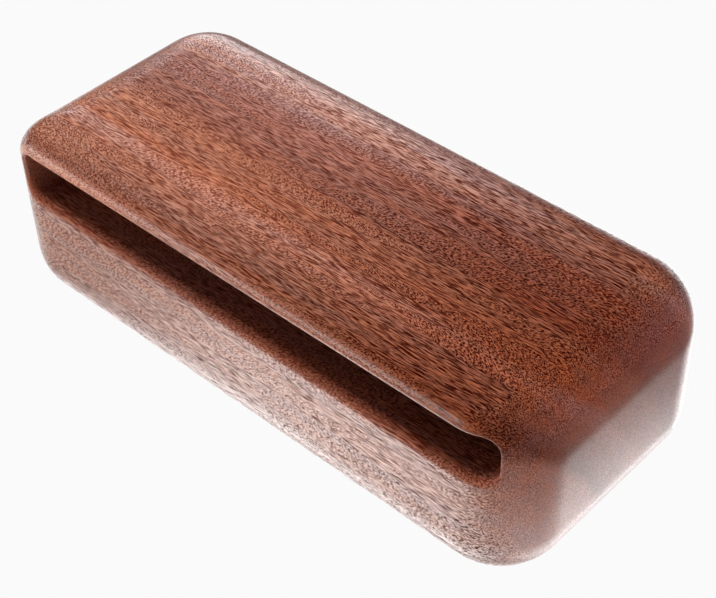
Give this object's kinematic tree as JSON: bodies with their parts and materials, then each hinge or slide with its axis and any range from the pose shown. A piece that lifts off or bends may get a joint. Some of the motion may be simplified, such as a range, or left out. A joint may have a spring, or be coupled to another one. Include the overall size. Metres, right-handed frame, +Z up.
{
  "type": "wood block",
  "caption": "Slotted hardwood percussion block with round edges, a long sound slot under a thin struck roof, and screwed rubber feet.",
  "frame": {"origin": "on the surface the feet stand on, under the middle of the block", "axes": "+X along the block's length, -Y the side that the sound slot opens to, +Z up"},
  "size_m": [0.203, 0.0904, 0.0708],
  "materials": {
    "oiled_hardwood": "satin oil over ribbon-striped reddish brown hardwood with short dark pores",
    "black_rubber": "matte moulded rubber",
    "zinc_plated_steel": "bright zinc plate"
  },
  "bodies": {
    "root": {"block_body": "oiled_hardwood", "foot_front_left": "black_rubber", "foot_front_right": "black_rubber", "foot_back_left": "black_rubber", "foot_back_right": "black_rubber", "washer_front_left": "zinc_plated_steel", "washer_front_right": "zinc_plated_steel", "washer_back_left": "zinc_plated_steel", "washer_back_right": "zinc_plated_steel", "screw_front_left": "zinc_plated_steel", "screw_front_right": "zinc_plated_steel", "screw_back_left": "zinc_plated_steel", "screw_back_right": "zinc_plated_steel"}
  },
  "joints": []
}
